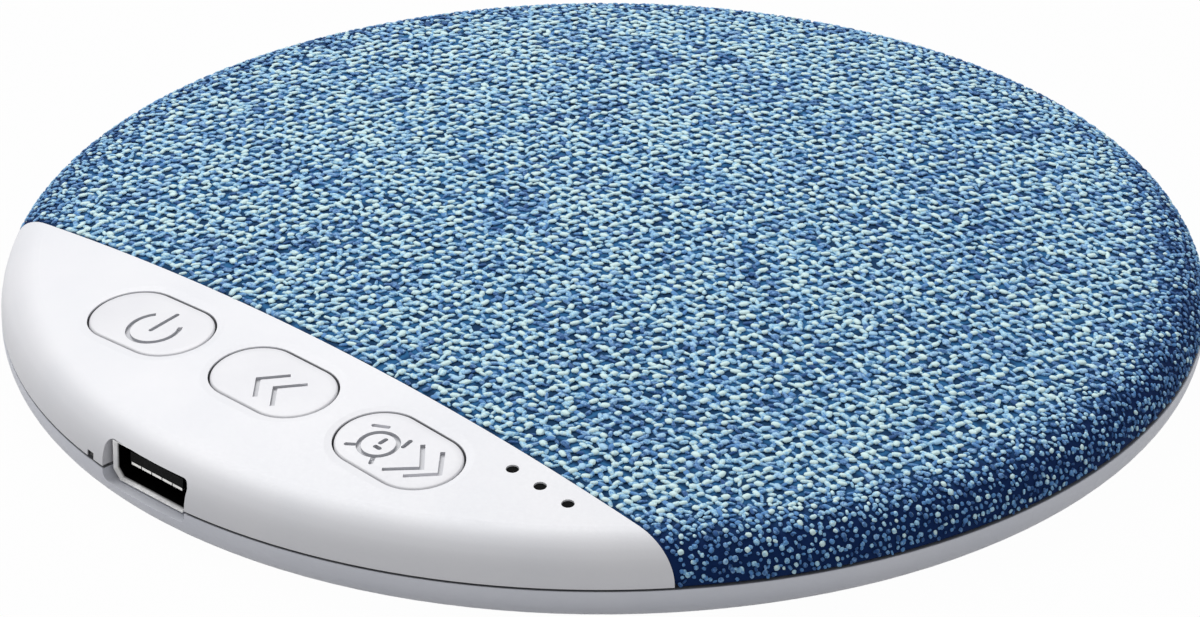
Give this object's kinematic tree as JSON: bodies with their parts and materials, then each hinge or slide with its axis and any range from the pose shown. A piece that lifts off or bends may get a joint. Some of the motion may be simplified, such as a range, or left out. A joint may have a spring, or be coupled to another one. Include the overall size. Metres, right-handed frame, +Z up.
{
  "type": "pillow speaker",
  "caption": "Flat round pillow speaker with a fabric-covered domed top, a white control panel with oblong keys, a charging socket in the rim and a slim loudspeaker inside.",
  "frame": {"origin": "centre of the round base, on the surface that the speaker lies on", "axes": "+Z up out of the fabric top, -Y towards the control panel and the charging socket, +X to the right as the keys are read"},
  "size_m": [0.088, 0.0879, 0.0097],
  "materials": {
    "white_shell": "satin moulded white plastic",
    "white_panel": "satin moulded white plastic",
    "white_key": "satin moulded white plastic with engraved signs",
    "grille_plastic": "dark moulded plastic",
    "heather_fabric": "blue heather knitted fabric",
    "black_plastic": "black moulded plastic",
    "spring_steel": "bright stamped steel",
    "circuit_board": "green solder mask on glass fibre",
    "ferrite": "dark grey ferrite",
    "led_white": "white LED package",
    "smoked_pipe": "smoked clear plastic",
    "gold_plate": "gold-plated contact",
    "frame_plastic": "black-coated pressed steel",
    "plated_steel": "zinc-plated steel",
    "copper_wire": "enamelled copper winding",
    "cone_film": "dark formed film",
    "roll_rubber": "soft black rubber",
    "foam": "black foam tape",
    "terminal_board": "brown paper-phenolic board",
    "red_lead": "red lead insulation",
    "black_lead": "black lead insulation",
    "pouch_foil": "satin aluminium pouch foil"
  },
  "bodies": {
    "housing": {"bottom_shell": "white_shell", "control_panel": "white_panel", "grille": "grille_plastic", "fabric_cover": "heather_fabric", "snap_dome_power": "spring_steel", "snap_dome_back": "spring_steel", "snap_dome_forward": "spring_steel", "switch_bodies": "black_plastic", "switch_covers": "spring_steel", "main_board": "circuit_board", "board_screws": "spring_steel", "wireless_chip": "black_plastic", "amplifier_chip": "black_plastic", "inductor": "ferrite", "crystal": "spring_steel", "indicator_leds": "led_white", "light_pipe": "smoked_pipe", "usb_shell": "spring_steel", "usb_insert": "black_plastic", "usb_contacts": "gold_plate", "speaker_frame": "frame_plastic", "speaker_yoke": "plated_steel", "speaker_magnet": "plated_steel", "pole_plate": "plated_steel", "surround": "roll_rubber", "speaker_gasket": "foam", "speaker_terminal": "terminal_board", "speaker_lead_red": "red_lead", "speaker_lead_black": "black_lead", "battery_cell": "pouch_foil", "battery_pad": "foam", "protection_board": "circuit_board", "battery_lead_red": "red_lead", "battery_lead_black": "black_lead"},
    "power_key": {"key_power": "white_key", "plunger_power": "black_plastic"},
    "back_key": {"key_back": "white_key", "plunger_back": "black_plastic"},
    "forward_key": {"key_forward": "white_key", "plunger_forward": "black_plastic"},
    "cone": {"diaphragm": "cone_film", "voice_coil": "copper_wire"}
  },
  "joints": [
    {"name": "power_key_press", "type": "slide", "parent": "housing", "child": "power_key", "axis": [0, 0, -1], "range_m": [0, 0.00025], "stiffness_N_per_m": 4000, "deforming": ["snap_dome_power"]},
    {"name": "back_key_press", "type": "slide", "parent": "housing", "child": "back_key", "axis": [0, 0, -1], "range_m": [0, 0.00025], "stiffness_N_per_m": 4000, "deforming": ["snap_dome_back"]},
    {"name": "forward_key_press", "type": "slide", "parent": "housing", "child": "forward_key", "axis": [0, 0, -1], "range_m": [0, 0.00025], "stiffness_N_per_m": 4000, "deforming": ["snap_dome_forward"]},
    {"name": "cone_travel", "type": "slide", "parent": "housing", "child": "cone", "axis": [0, 0, 1], "range_m": [-0.0003, 0.0003], "stiffness_N_per_m": 800, "deforming": ["surround"]}
  ]
}
